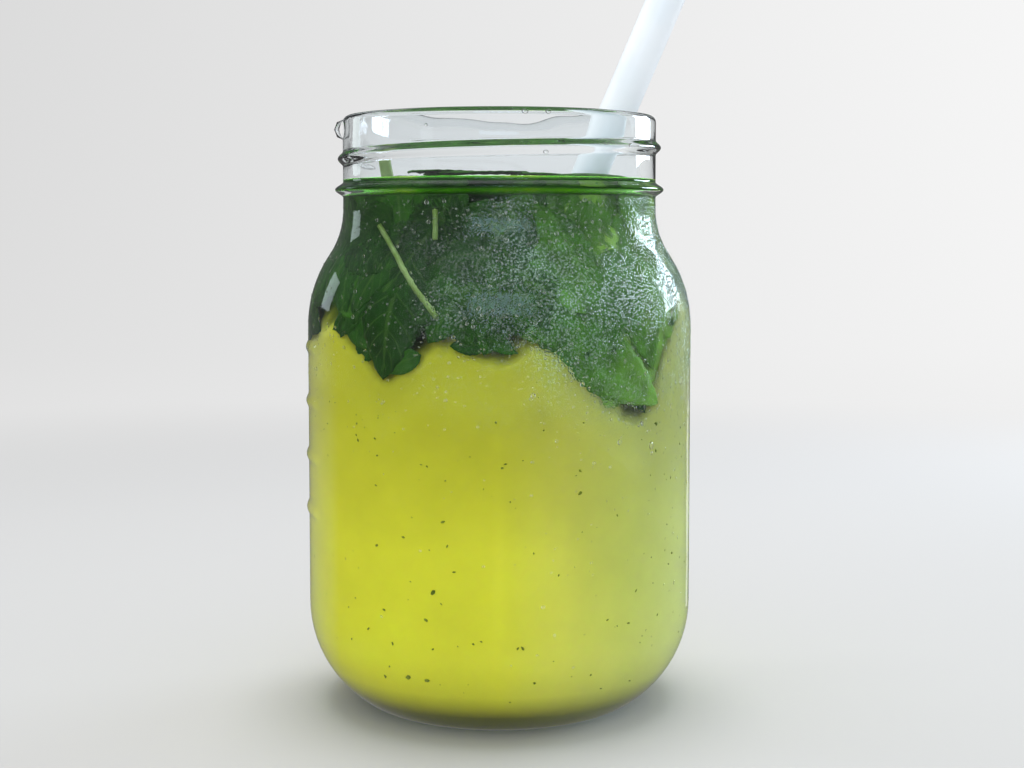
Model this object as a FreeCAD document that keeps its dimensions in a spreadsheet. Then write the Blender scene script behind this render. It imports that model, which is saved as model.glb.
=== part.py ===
import FreeCAD, Part
import Sketcher
import math
import os
from types import SimpleNamespace
from FreeCAD import Placement, Rotation, Vector

# A mojito in the pint preserving jar that it is served in: the jar, the drink, the bundle of
# mint under its surface and the straw. Millimetres, +Z up, origin on the jar's axis at the
# table. The jar's front looks along -Y, and the straw leans towards +X.

# ---------------------------------------------------------------- driving sizes
SIZES = {
    # jar, outside; a drop is measured down from the rim
    "jarHeight": (125.0, "table to rim"),
    "bodyDiameter": (82.0, "outside of the straight body"),
    "neckDiameter": (66.8, "outside of the neck, the wall behind the thread"),
    "heelRound": (24.5, "radius of the heel"),
    "footRound": (8.3, "radius between heel and foot ring"),
    "footInset": (15.25, "from the body's wall in to the foot ring"),
    "footWidth": (1.5, "flat ring that the jar stands on"),
    "pushUp": (1.8, "rise of the underside at its middle"),
    "neckDrop": (19.6, "rim to the foot of the straight neck"),
    "shoulderRound": (27.0, "radius of the shoulder"),
    "neckFillet": (17.5, "radius between shoulder and neck"),
    "rimRound": (1.2, "radius of the rim's outer edge"),
    "mouthRound": (1.4, "radius of the rim's inner edge"),
    # jar, glass thickness
    "bodyWall": (2.8, "glass in the body"),
    "neckWall": (3.2, "glass in the neck"),
    "floorHeight": (5.5, "table to the inside floor"),
    "floorRound": (6.0, "radius between inside floor and heel"),
    # thread, bead and raised marks
    "threadDrop": (9.6, "rim to the thread's lower end"),
    "threadPitch": (5.08, "rise in one turn"),
    "threadTurns": (0.97, "turns from end to end"),
    "threadRound": (1.15, "radius of the thread's section"),
    "threadProud": (1.1, "how far the thread stands out of the neck"),
    "beadDrop": (15.6, "rim to the middle of the bead under the thread"),
    "beadRound": (1.2, "radius of the bead's section"),
    "beadProud": (1.7, "how far the bead stands out of the neck"),
    "markDrop": (48.8, "rim to the middle of the highest raised mark"),
    "markSpacing": (11.4, "from one mark down to the next"),
    "markRound": (1.6, "radius of a mark's section"),
    "markProud": (0.5, "how far a mark stands out of the body"),
    "markAngle": (52.0, "degrees of the body that a mark spans"),
    # contents
    "drinkDrop": (14.0, "rim to the surface of the drink"),
    "mintRise": (1.6, "mean height of the leaves over the drink's surface"),
    "mintDepth": (31.0, "surface of the drink to the bundle's underside, on average"),
    "stemDiameter": (2.6, "mint stem that stands out of the drink"),
    "stemLength": (30.0, "that stem, end to end"),
    "stemRise": (5.5, "how far it stands out"),
    # straw
    "strawDiameter": (8.0, "outside of the straw"),
    "strawWall": (0.35, "wall of the straw"),
    "strawLength": (197.0, "end to end"),
    "strawBehind": (6.0, "how far the straw leans behind the jar's axis"),
    "strawFootInset": (2.6, "from the edge of the flat floor to the straw's foot"),
    # clearances
    "drinkGap": (0.05, "drink to glass, mint and straw"),
    "mintInset": (2.2, "film of drink between mint and glass"),
    "strawGap": (0.25, "straw to rim, floor and mint"),
}
MARK_COUNT = 4
THREAD_BEARING = 150.0  # degrees from +X at which the thread begins, at the back left
MARK_BEARING = 180.0  # the marks face -X
STEM_BEARING = 204.0  # where the stem comes up beside the neck

# Leaves that hang out of the bundle's underside: bearing in degrees from +X, distance from
# the axis, how far the leaf hangs down, and how wide it spreads (mm).
HANGING_LEAVES = [
    (244, 34, 10.0, 9.0),
    (210, 35, 2.5, 7.0),
    (322, 36, 17.0, 7.5),
    (305, 30, 7.0, 7.0),
    (20, 34, 6.0, 8.0),
    (58, 33, 11.0, 8.0),
    (96, 34, 5.0, 8.0),
    (130, 33, 12.0, 9.0),
    (172, 35, 6.0, 8.0),
]
# Leaves that lie on top of it, in the same terms, rising instead.
LYING_LEAVES = [
    (245, 17, 1.7, 7.0),
    (300, 20, 0.9, 6.0),
    (150, 18, 1.2, 8.0),
    (60, 14, 1.0, 7.0),
]

doc = FreeCAD.newDocument("Mojito")


class Length:
    """A value and the expression that drives it, so that each formula is written once."""

    def __init__(self, value, text):
        self.value = value
        self.text = text

    def __add__(self, other):
        return Length(self.value + other.value, f"({self.text} + {other.text})")

    def __sub__(self, other):
        return Length(self.value - other.value, f"({self.text} - {other.text})")

    def __mul__(self, number):
        return Length(self.value * number, f"({self.text} * {number})")

    def __truediv__(self, number):
        return Length(self.value / number, f"({self.text} / {number})")

    def __pow__(self, power):
        return Length(self.value**power, f"({self.text} ^ {power})")

    def root(self):
        return Length(math.sqrt(self.value), f"sqrt({self.text})")


def make_sizes():
    """Writes the driving sizes to a sheet and gives each back under its alias."""
    sheet = doc.addObject("Spreadsheet::Sheet", "Sizes")
    for row, (alias, (value, note)) in enumerate(SIZES.items(), start=1):
        sheet.set(f"A{row}", str(value))
        sheet.setAlias(f"A{row}", alias)
        sheet.set(f"B{row}", note)
    doc.recompute()
    return SimpleNamespace(**{alias: Length(float(sheet.get(alias)), f"Sizes.{alias}") for alias in SIZES})


S = make_sizes()
NOTHING = Length(0.0, "0")
BODY_R = S.bodyDiameter / 2
NECK_R = S.neckDiameter / 2
INNER_R = BODY_R - S.bodyWall
MOUTH_R = NECK_R - S.neckWall
FOOT_R = BODY_R - S.footInset
HEEL_Z = S.footRound + ((S.heelRound - S.footRound) ** 2 - (S.heelRound - S.footInset) ** 2).root()
NECK_Z = S.jarHeight - S.neckDrop
DRINK_Z = S.jarHeight - S.drinkDrop


# ---------------------------------------------------------------- helpers
def origin_feature(body, role):
    return next(f for f in body.Origin.OriginFeatures if f.Role == role)


def new_body(name):
    return doc.addObject("PartDesign::Body", name)


def bind(thing, prop, length):
    """Sets a property and the expression that drives it."""
    setattr(thing, prop, length.value)
    thing.setExpression(prop, length.text)


def new_sketch(body, name, bearing=0.0):
    """A sketch on the body's XZ plane, turned about +Z to the given bearing."""
    sketch = body.newObject("Sketcher::SketchObject", name)
    sketch.AttachmentSupport = [(origin_feature(body, "XZ_Plane"), "")]
    sketch.MapMode = "FlatFace"
    sketch.AttachmentOffset = Placement(Vector(0, 0, 0), Rotation(Vector(0, 1, 0), bearing))
    return sketch


def relate(sketch, kind, *places):
    sketch.addConstraint(Sketcher.Constraint(kind, *places))


def dimension(sketch, kind, length, *places):
    index = sketch.addConstraint(Sketcher.Constraint(kind, *places, length.value))
    sketch.setExpression(f"Constraints[{index}]", length.text)


def line(sketch, x1, z1, x2, z2):
    return sketch.addGeometry(Part.LineSegment(Vector(x1, z1, 0), Vector(x2, z2, 0)))


def arc(sketch, x, z, radius, start, end):
    """An arc counterclockwise from start to end, in degrees."""
    circle = Part.Circle(Vector(x, z, 0), Vector(0, 0, 1), radius)
    return sketch.addGeometry(Part.ArcOfCircle(circle, math.radians(start), math.radians(end)))


def corner_arc(wall_r, heel_z, heel_r, floor_z, floor_r):
    """Where an arc of floor_r on a floor meets the heel arc: its middle, and the turn in degrees."""
    heel_x = wall_r - heel_r
    rise = heel_z - floor_z - floor_r
    x = heel_x + math.sqrt((heel_r - floor_r) ** 2 - rise**2)
    return x, math.degrees(math.atan2(rise, x - heel_x))


def s_bend(step, upper, lower):
    """Two touching arcs that step sideways: the turn of each in degrees, and their height."""
    turn = math.acos(1 - step / (upper + lower))
    return math.degrees(turn), (upper + lower) * math.sin(turn)


def revolve(body, sketch, name, angle=360.0, both_ways=False):
    feature = body.newObject("PartDesign::Revolution", name)
    feature.Profile = sketch
    feature.ReferenceAxis = (sketch, ["V_Axis"])
    feature.Angle = angle
    feature.Midplane = both_ways
    return feature


# ---------------------------------------------------------------- the jar's sections
def outside_section(body):
    """Half section of the jar, filled: underside, foot, heel, body, shoulder, neck and rim."""
    body_r, neck_r, top = BODY_R.value, NECK_R.value, S.jarHeight.value
    foot_r, heel_r, heel_z = S.footRound.value, S.heelRound.value, HEEL_Z.value
    shoulder_r, fillet_r, neck_z = S.shoulderRound.value, S.neckFillet.value, NECK_Z.value
    rim, push_up = S.rimRound.value, S.pushUp.value
    foot_x, foot_turn = corner_arc(body_r, heel_z, heel_r, 0, foot_r)
    inner_x = foot_x - S.footWidth.value
    dome = (inner_x**2 + push_up**2) / (2 * push_up)
    dome_turn = math.degrees(math.asin(inner_x / dome))
    bend, bend_height = s_bend(body_r - neck_r, shoulder_r, fillet_r)
    shoulder_z = neck_z - bend_height

    sketch = new_sketch(body, "OutsideSection")
    underside = arc(sketch, 0, push_up - dome, dome, 90 - dome_turn, 90)
    ring = line(sketch, inner_x, 0, foot_x, 0)
    foot = arc(sketch, foot_x, foot_r, foot_r, -90, -foot_turn)
    heel = arc(sketch, body_r - heel_r, heel_z, heel_r, -foot_turn, 0)
    wall = line(sketch, body_r, heel_z, body_r, shoulder_z)
    shoulder = arc(sketch, body_r - shoulder_r, shoulder_z, shoulder_r, 0, bend)
    fillet = arc(sketch, neck_r + fillet_r, neck_z, fillet_r, 180, 180 + bend)
    neck = line(sketch, neck_r, neck_z, neck_r, top - rim)
    rounding = arc(sketch, neck_r - rim, top - rim, rim, 0, 90)
    lid = line(sketch, neck_r - rim, top, 0, top)
    axis = line(sketch, 0, top, 0, push_up)

    for flat in (ring, lid):
        relate(sketch, "Horizontal", flat)
    for upright in (wall, neck, axis):
        relate(sketch, "Vertical", upright)
    relate(sketch, "PointOnObject", underside, 3, -2)
    relate(sketch, "PointOnObject", axis, 1, -2)
    relate(sketch, "PointOnObject", ring, 1, -1)
    for ends in (
        (ring, 2, foot, 1),
        (foot, 2, heel, 1),
        (heel, 2, wall, 1),
        (wall, 2, shoulder, 1),
        (shoulder, 2, fillet, 2),
        (fillet, 1, neck, 1),
        (neck, 2, rounding, 1),
        (rounding, 2, lid, 1),
    ):
        relate(sketch, "Tangent", *ends)
    for ends in ((lid, 2, axis, 1), (axis, 2, underside, 2), (underside, 1, ring, 1)):
        relate(sketch, "Coincident", *ends)
    for round_edge, radius in (
        (foot, S.footRound),
        (heel, S.heelRound),
        (shoulder, S.shoulderRound),
        (fillet, S.neckFillet),
        (rounding, S.rimRound),
    ):
        dimension(sketch, "Radius", radius, round_edge)
    dimension(sketch, "DistanceX", BODY_R, -1, 1, wall, 1)
    dimension(sketch, "DistanceX", NECK_R, -1, 1, neck, 1)
    dimension(sketch, "DistanceX", FOOT_R, -1, 1, ring, 2)
    dimension(sketch, "DistanceX", S.footWidth, ring, 1, ring, 2)
    for length, place, end in (
        (S.pushUp, axis, 2),
        (NECK_Z, neck, 1),
        (S.jarHeight, lid, 1),
    ):
        dimension(sketch, "DistanceY", length, -1, 1, place, end)
    return sketch


def inside_section(body, name, gap, top):
    """Half section of the jar's inside up to a level, kept off the glass by a gap."""
    heel_radius = S.heelRound - S.bodyWall - gap
    floor_radius = S.floorRound - gap
    shoulder_radius = S.shoulderRound - S.bodyWall - gap
    fillet_radius = S.neckFillet + S.neckWall + gap
    floor_level = S.floorHeight + gap
    wall_reach = INNER_R - gap
    neck_reach = MOUTH_R - gap
    wall_x, neck_x, floor_z, level = wall_reach.value, neck_reach.value, floor_level.value, top.value
    heel_r, floor_r, heel_z = heel_radius.value, floor_radius.value, HEEL_Z.value
    shoulder_r, fillet_r, neck_z = shoulder_radius.value, fillet_radius.value, NECK_Z.value
    floor_x, floor_turn = corner_arc(wall_x, heel_z, heel_r, floor_z, floor_r)
    bend, bend_height = s_bend(wall_x - neck_x, shoulder_r, fillet_r)
    shoulder_z = neck_z - bend_height

    sketch = new_sketch(body, name)
    floor = line(sketch, 0, floor_z, floor_x, floor_z)
    corner = arc(sketch, floor_x, floor_z + floor_r, floor_r, -90, -floor_turn)
    heel = arc(sketch, wall_x - heel_r, heel_z, heel_r, -floor_turn, 0)
    wall = line(sketch, wall_x, heel_z, wall_x, shoulder_z)
    shoulder = arc(sketch, wall_x - shoulder_r, shoulder_z, shoulder_r, 0, bend)
    fillet = arc(sketch, neck_x + fillet_r, neck_z, fillet_r, 180, 180 + bend)
    neck = line(sketch, neck_x, neck_z, neck_x, level)
    surface = line(sketch, neck_x, level, 0, level)
    axis = line(sketch, 0, level, 0, floor_z)

    for flat in (floor, surface):
        relate(sketch, "Horizontal", flat)
    for upright in (wall, neck, axis):
        relate(sketch, "Vertical", upright)
    relate(sketch, "PointOnObject", axis, 1, -2)
    for ends in (
        (floor, 2, corner, 1),
        (corner, 2, heel, 1),
        (heel, 2, wall, 1),
        (wall, 2, shoulder, 1),
        (shoulder, 2, fillet, 2),
        (fillet, 1, neck, 1),
    ):
        relate(sketch, "Tangent", *ends)
    for ends in ((neck, 2, surface, 1), (surface, 2, axis, 1), (axis, 2, floor, 1)):
        relate(sketch, "Coincident", *ends)
    for round_edge, radius in (
        (corner, floor_radius),
        (heel, heel_radius),
        (shoulder, shoulder_radius),
        (fillet, fillet_radius),
    ):
        dimension(sketch, "Radius", radius, round_edge)
    dimension(sketch, "DistanceX", wall_reach, -1, 1, wall, 1)
    dimension(sketch, "DistanceX", neck_reach, -1, 1, neck, 1)
    for length, place, end in (
        (floor_level, floor, 1),
        (HEEL_Z, wall, 1),
        (NECK_Z, neck, 1),
        (top, surface, 1),
    ):
        dimension(sketch, "DistanceY", length, -1, 1, place, end)
    return sketch


def round_section(body, name, bearing, reach, height, radius):
    """A circle beside the axis, for a bead, a thread or a raised mark."""
    sketch = new_sketch(body, name, bearing)
    circle = Part.Circle(Vector(reach.value, height.value, 0), Vector(0, 0, 1), radius.value)
    ring = sketch.addGeometry(circle)
    dimension(sketch, "Radius", radius, ring)
    dimension(sketch, "DistanceX", reach, -1, 1, ring, 3)
    dimension(sketch, "DistanceY", height, -1, 1, ring, 3)
    return sketch


# ---------------------------------------------------------------- jar
def add_bead(body):
    reach = NECK_R + S.beadProud - S.beadRound
    section = round_section(body, "BeadSection", 0.0, reach, S.jarHeight - S.beadDrop, S.beadRound)
    revolve(body, section, "Bead")


def add_marks(body):
    """Raised level marks, one above the other on the side of the body."""
    reach = BODY_R + S.markProud - S.markRound
    highest = S.jarHeight - S.markDrop
    section = round_section(body, "MarkSection", MARK_BEARING, reach, highest, S.markRound)
    bar = revolve(body, section, "Mark", both_ways=True)
    bind(bar, "Angle", S.markAngle)
    marks = body.newObject("PartDesign::LinearPattern", "Marks")
    marks.Originals = [bar]
    marks.Direction = (origin_feature(body, "Z_Axis"), [""])
    marks.Reversed = True
    marks.Occurrences = MARK_COUNT
    bind(marks, "Length", S.markSpacing * (MARK_COUNT - 1))
    body.Tip = marks


def add_thread(body):
    """One turn of right-handed thread for the screw band."""
    reach = NECK_R + S.threadProud - S.threadRound
    start = S.jarHeight - S.threadDrop
    section = round_section(body, "ThreadSection", THREAD_BEARING, reach, start, S.threadRound)
    thread = body.newObject("PartDesign::AdditiveHelix", "Thread")
    thread.Profile = section
    thread.ReferenceAxis = (section, ["V_Axis"])
    thread.Mode = "pitch-turns-angle"
    bind(thread, "Pitch", S.threadPitch)
    bind(thread, "Turns", S.threadTurns)
    doc.recompute()


def mouth_edge(shape):
    """Name of the sharp edge round the mouth."""
    for number, edge in enumerate(shape.Edges, start=1):
        curve = edge.Curve
        if not isinstance(curve, Part.Circle):
            continue
        if abs(curve.Radius - MOUTH_R.value) < 1e-4 and abs(curve.Center.z - S.jarHeight.value) < 1e-4:
            return f"Edge{number}"
    raise RuntimeError("the jar has no edge round its mouth")


def make_jar():
    """Pressed glass: one revolved solid with its bead, marks and thread, hollowed last."""
    body = new_body("Jar")
    revolve(body, outside_section(body), "Blank")
    add_bead(body)
    add_marks(body)
    add_thread(body)

    hollow = body.newObject("PartDesign::Groove", "Hollow")
    inside = inside_section(body, "InsideSection", NOTHING, S.jarHeight)
    hollow.Profile = inside
    hollow.ReferenceAxis = (inside, ["V_Axis"])
    hollow.Angle = 360.0
    doc.recompute()

    lip = body.newObject("PartDesign::Fillet", "Lip")
    lip.Base = (hollow, [mouth_edge(hollow.Shape)])
    bind(lip, "Radius", S.mouthRound)
    body.Label = "jar"
    return body


# ---------------------------------------------------------------- straw
def straw_line():
    """The straw's foot and direction: it stands on the floor at -X and leans on the mouth at +X."""
    outer_r = S.strawDiameter.value / 2
    behind = S.strawBehind.value
    heel_r = S.heelRound.value - S.bodyWall.value
    floor_z = S.floorHeight.value
    floor_edge, _ = corner_arc(INNER_R.value, HEEL_Z.value, heel_r, floor_z, S.floorRound.value)
    foot_x = -math.sqrt((floor_edge - S.strawFootInset.value) ** 2 - behind**2)
    mouth_x = math.sqrt((MOUTH_R.value - S.strawGap.value) ** 2 - behind**2)
    lean = 0.0
    for _ in range(12):  # the tube's own thickness depends on its lean
        foot_z = floor_z + S.strawGap.value + outer_r * math.sin(lean)
        rim_x = mouth_x - outer_r / math.cos(lean)
        lean = math.atan2(rim_x - foot_x, S.jarHeight.value - foot_z)
    return Vector(foot_x, behind, foot_z), Vector(math.sin(lean), 0, math.cos(lean))


def rod(name, foot, along, radius, length):
    cylinder = doc.addObject("Part::Cylinder", name)
    bind(cylinder, "Radius", radius)
    bind(cylinder, "Height", length)
    cylinder.Placement = Placement(foot, Rotation(Vector(0, 0, 1), along))
    return cylinder


def cut(name, base, tool):
    result = doc.addObject("Part::Cut", name)
    result.Base = base
    result.Tool = tool
    return result


def make_straw():
    """A plain drinking straw, a thin tube that is open at both ends."""
    foot, along = straw_line()
    outer = rod("StrawOutside", foot, along, S.strawDiameter / 2, S.strawLength)
    bore = rod("StrawBore", foot, along, S.strawDiameter / 2 - S.strawWall, S.strawLength)
    straw = cut("Straw", outer, bore)
    straw.Label = "straw"
    return straw


def straw_room(name, gap):
    """What the straw takes out of the contents, with a clearance round it and below its foot."""
    foot, along = straw_line()
    start = foot - along * S.strawDiameter.value
    return rod(name, start, along, S.strawDiameter / 2 + gap, S.strawLength + S.strawDiameter)


# ---------------------------------------------------------------- mint
def leafy_height(leaves, mean, sign, x, y):
    """Height of a leafy surface: a level with one soft swelling for each leaf."""
    height = mean
    for bearing, distance, swell, spread in leaves:
        leaf_x = distance * math.cos(math.radians(bearing))
        leaf_y = distance * math.sin(math.radians(bearing))
        off = ((x - leaf_x) ** 2 + (y - leaf_y) ** 2) / (2 * spread**2)
        height += sign * swell * math.exp(-off)
    return height


def leafy_block(name, leaves, mean, sign, depth):
    """A block that is bounded by a leafy surface and reaches depth away from it, up or down."""
    reach = 0.6 * S.bodyDiameter.value
    steps = 20
    grid = [-reach + 2 * reach * i / steps for i in range(steps + 1)]
    rows = [[Vector(x, y, leafy_height(leaves, mean, sign, x, y)) for y in grid] for x in grid]
    surface = Part.BSplineSurface()
    surface.interpolate(rows)
    block = doc.addObject("Part::Feature", name)
    block.Shape = surface.toShape().extrude(Vector(0, 0, depth))
    return block


def mint_bundle(name, gap):
    """The bundle of leaves: the jar's inside at its shoulder and neck, between two leafy faces.

    gap grows it on every side, to give the room that it takes in the drink.
    """
    body = new_body(f"{name}Blank")
    revolve(body, inside_section(body, f"{name}Section", S.mintInset - gap, S.jarHeight), f"{name}Round")
    height = S.jarHeight.value
    under_z = DRINK_Z.value - S.mintDepth.value - gap.value
    over_z = DRINK_Z.value + S.mintRise.value + gap.value
    under = leafy_block(f"{name}Under", HANGING_LEAVES, under_z, -1, height)
    over = leafy_block(f"{name}Over", LYING_LEAVES, over_z, 1, -height)
    bundle = doc.addObject("Part::MultiCommon", name)
    bundle.Shapes = [body, under, over]
    return bundle


def make_mint():
    """The bundle, clear of the straw, with the one stem that stands out of the drink."""
    stem_r = S.stemDiameter.value / 2
    reach = MOUTH_R.value - S.mintInset.value - stem_r
    bearing = math.radians(STEM_BEARING)
    head_z = DRINK_Z.value + S.stemRise.value
    head = Vector(reach * math.cos(bearing), reach * math.sin(bearing), head_z)
    along = Vector(-0.12, 0.1, 1).normalize()
    start = head - along * S.stemLength.value
    stem = rod("MintStem", start, along, S.stemDiameter / 2, S.stemLength)
    whole = doc.addObject("Part::MultiFuse", "MintWhole")
    whole.Shapes = [mint_bundle("MintBundle", NOTHING), stem]
    mint = cut("Mint", whole, straw_room("MintStrawRoom", S.strawGap))
    mint.Label = "mint"
    return mint


# ---------------------------------------------------------------- drink
def make_drink():
    """The drink up to its level, cut round the mint and the straw."""
    body = new_body("DrinkBlank")
    revolve(body, inside_section(body, "DrinkSection", S.drinkGap, DRINK_Z), "DrinkRound")
    round_mint = cut("DrinkRoundMint", body, mint_bundle("MintRoom", S.drinkGap))
    drink = cut("Drink", round_mint, straw_room("DrinkStrawRoom", S.drinkGap))
    drink.Label = "drink"
    return drink


# ---------------------------------------------------------------- build and write
pieces = [make_jar(), make_drink(), make_mint(), make_straw()]
doc.recompute()

for thing in doc.Objects:
    if "Invalid" in thing.State or "Error" in thing.State:
        raise RuntimeError(f"{thing.Name} failed: {thing.State}")
for piece in pieces:
    if piece.Shape.isNull() or not piece.Shape.isValid() or len(piece.Shape.Solids) != 1:
        raise RuntimeError(f"{piece.Label} is not one valid solid")

os.makedirs("parts", exist_ok=True)
for piece in pieces:
    piece.Shape.exportStep(f"parts/{piece.Label}.step")
    box = piece.Shape.BoundBox
    print(f"{piece.Label}: {piece.Shape.Volume / 1000:.1f} ml, z {box.ZMin:.2f} to {box.ZMax:.2f}")
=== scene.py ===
import math
import random

import bmesh
import bpy
from mathutils import Matrix, Vector, noise


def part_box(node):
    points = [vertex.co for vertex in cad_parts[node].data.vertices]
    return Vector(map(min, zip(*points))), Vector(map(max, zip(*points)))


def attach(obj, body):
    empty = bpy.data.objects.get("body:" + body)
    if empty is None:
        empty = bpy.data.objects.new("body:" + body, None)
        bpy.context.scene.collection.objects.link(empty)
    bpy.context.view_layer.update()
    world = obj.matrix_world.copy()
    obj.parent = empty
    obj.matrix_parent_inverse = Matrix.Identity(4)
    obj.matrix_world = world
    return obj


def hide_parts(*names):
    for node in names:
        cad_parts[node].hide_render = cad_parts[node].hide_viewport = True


# A mojito in a pint preserving jar, in its own studio. Pieces are drawn in millimetres and
# made metres when they are finished. A bearing is in degrees from +X, and the front is 270.

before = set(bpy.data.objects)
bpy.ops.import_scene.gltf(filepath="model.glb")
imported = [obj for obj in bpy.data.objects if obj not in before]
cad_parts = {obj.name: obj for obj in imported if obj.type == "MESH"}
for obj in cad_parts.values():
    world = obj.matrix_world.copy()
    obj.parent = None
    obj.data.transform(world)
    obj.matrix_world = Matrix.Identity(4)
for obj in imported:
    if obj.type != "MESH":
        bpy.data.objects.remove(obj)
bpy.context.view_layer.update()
jarLow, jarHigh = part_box("jar")
strawLow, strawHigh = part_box("straw")
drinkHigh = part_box("drink")[1]
mm = 0.001


# shapes that the pieces share: runs of (radius, height) points in millimetres

def arcRun(x, z, radius, start, end, steps):
    turn = (end - start) / steps
    angles = [math.radians(start + turn * i) for i in range(steps + 1)]
    return [(x + radius * math.cos(a), z + radius * math.sin(a)) for a in angles]


def straightRun(start, end, step):
    count = max(1, round(math.dist(start, end) / step))
    return [
        (start[0] + (end[0] - start[0]) * i / count, start[1] + (end[1] - start[1]) * i / count)
        for i in range(count + 1)
    ]


def chain(*runs):
    points = []
    for run in runs:
        points += run if not points else run[1:]  # each run starts where the last one ends
    return points


def smoothStep(low, high, value):
    t = min(1.0, max(0.0, (value - low) / (high - low)))
    return t * t * (3 - 2 * t)


def hump(offset, halfWidth):
    if abs(offset) >= halfWidth:
        return 0.0
    return math.cos(offset / halfWidth * math.pi / 2) ** 1.5


def spun(points, columns):
    # a profile of (radius, height) turned once about the jar's axis
    bm = bmesh.new()
    verts = [bm.verts.new((x, 0, z)) for x, z in points]
    edges = [bm.edges.new(pair) for pair in zip(verts, verts[1:])]
    bmesh.ops.spin(bm, geom=verts + edges, cent=(0, 0, 0), axis=(0, 0, 1), angle=math.tau,
                   steps=columns, use_merge=True)
    bmesh.ops.remove_doubles(bm, verts=bm.verts, dist=1e-4)
    bmesh.ops.recalc_face_normals(bm, faces=bm.faces)
    return bm


def around(radius, bearing, z):
    angle = math.radians(bearing)
    return Vector((radius * math.cos(angle), radius * math.sin(angle), z))


def bearingOf(point):
    return math.degrees(math.atan2(point.y, point.x)) % 360


def finished(bm, name, material, slot, *nodes):
    # millimetres to metres, smooth faces, and its place in the frame
    mesh = bpy.data.meshes.new(name)
    bmesh.ops.scale(bm, vec=(mm, mm, mm), verts=bm.verts)
    bm.to_mesh(mesh)
    bm.free()
    mesh.shade_smooth()
    mesh.materials.append(material)
    piece = bpy.data.objects.new(name, mesh)
    bpy.context.scene.collection.objects.link(piece)
    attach(piece, "root")
    if nodes:
        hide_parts(*nodes)
    return piece


# what every material is made with

def linear(hexColour):
    # sRGB hex to the linear colour that shaders want
    parts = [int(hexColour[i:i + 2], 16) / 255 for i in (1, 3, 5)]
    return tuple(c / 12.92 if c < 0.04045 else ((c + 0.055) / 1.055) ** 2.4 for c in parts) + (1.0,)


def newMaterial(name):
    material = bpy.data.materials.new(name)
    material.use_nodes = True
    tree = material.node_tree
    return material, tree, tree.nodes["Principled BSDF"]


def addNode(tree, kind, settings=None, links=None):
    # settings with a property's name set it, others set an input's value
    node = tree.nodes.new(kind)
    for key, value in (settings or {}).items():
        if isinstance(key, str) and hasattr(node, key):
            setattr(node, key, value)
        else:
            node.inputs[key].default_value = value
    for key, source in (links or {}).items():
        tree.links.new(source, node.inputs[key])
    return node


def setInputs(shader, settings):
    for key, value in settings.items():
        shader.inputs[key].default_value = value


def ramp(tree, source, stops):
    node = addNode(tree, "ShaderNodeValToRGB", links={"Fac": source})
    band = node.color_ramp
    while len(band.elements) < len(stops):
        band.elements.new(0.5)
    for element, (place, colour) in zip(band.elements, stops):
        element.position = place
        element.color = colour if isinstance(colour, tuple) else linear(colour)
    return node.outputs["Color"]


def grey(value):
    return (value, value, value, 1.0)


def letLampsThrough(tree, shader, tint):
    # shadow rays pass, so that what is behind the glass is lit without caustics
    path = addNode(tree, "ShaderNodeLightPath")
    clear = addNode(tree, "ShaderNodeBsdfTransparent", {"Color": linear(tint)})
    mix = addNode(tree, "ShaderNodeMixShader", links={0: path.outputs["Is Shadow Ray"]})
    tree.links.new(shader.outputs["BSDF"], mix.inputs[1])
    tree.links.new(clear.outputs["BSDF"], mix.inputs[2])
    tree.links.new(mix.outputs["Shader"], tree.nodes["Material Output"].inputs["Surface"])


def objectPoint(tree):
    return addNode(tree, "ShaderNodeTexCoord").outputs["Object"]


def perMetre(size):
    # the scale of a pattern whose marks are this many millimetres across
    return 1 / (size * mm)


# camera, floor and lamps: distances in millimetres, angles in degrees

studio = dict(
    lens=56.25,
    shift=-0.0596,
    cameraSide=2.7,
    cameraBack=344.8,
    cameraHeight=102.1,
    pitch=3.53,
    floorRadius=900,
    wallRadius=1500,
    wallHeight=1500,
    aim=70,
    floorPaper="#b3b2b1",
    wallGlow=(0.70, 0.93),  # at its -X and its +X side
    glowSpan=600,
    mattFloor=(280, 620),  # matt up to the first distance, glowing from the second
    skyColour="#f4f6f8",
    skyStrength=1.11,
    bounces=9,
    tentRadius=850,
    tentGlow=[  # from its foot to its top
        (0.3, (0.24, 0.24, 0.24, 1.0)), (0.48, (0.16, 0.16, 0.16, 1.0)), (0.56, (0.10, 0.10, 0.10, 1.0)),
        (0.8, (0.15, 0.17, 0.19, 1.0)),
    ],
    lamps=[  # name, bearing, rise in degrees, distance, width, height, radiance, colour
        ("front softbox", 271, 24, 750, 480, 210, 2.9, "#bcdcf4"),
        ("overhead softbox", 90, 84, 800, 320, 320, 15.5, "#ffffff"),
        ("right window", 38, 14, 700, 330, 190, 12.0, "#dbebfb"),
        ("left window", 146, 12, 700, 150, 170, 2.2, "#d8ecec"),
        ("left fill", 222, 8, 1000, 500, 420, 2.2, "#ffffff"),
    ],
    cards=[  # bearing, rise, distance, width, height, radiance: only reflections see them
        (63, -11.5, 600, 70, 140, 0.9),
    ],
)


def makeCamera():
    data = bpy.data.cameras.new("camera")
    data.lens = studio["lens"]
    data.shift_y = studio["shift"]
    camera = bpy.data.objects.new("camera", data)
    camera.location = Vector((studio["cameraSide"], -studio["cameraBack"], studio["cameraHeight"])) * mm
    camera.rotation_euler = (math.radians(90 - studio["pitch"]), 0, 0)
    bpy.context.scene.collection.objects.link(camera)
    bpy.context.scene.camera = camera


def makeStage(bm, name, material):
    mesh = bpy.data.meshes.new(name)
    bmesh.ops.scale(bm, vec=(mm, mm, mm), verts=bm.verts)
    bm.to_mesh(mesh)
    bm.free()
    mesh.shade_smooth()
    mesh.materials.append(material)
    piece = bpy.data.objects.new(name, mesh)
    bpy.context.scene.collection.objects.link(piece)
    return piece


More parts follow.
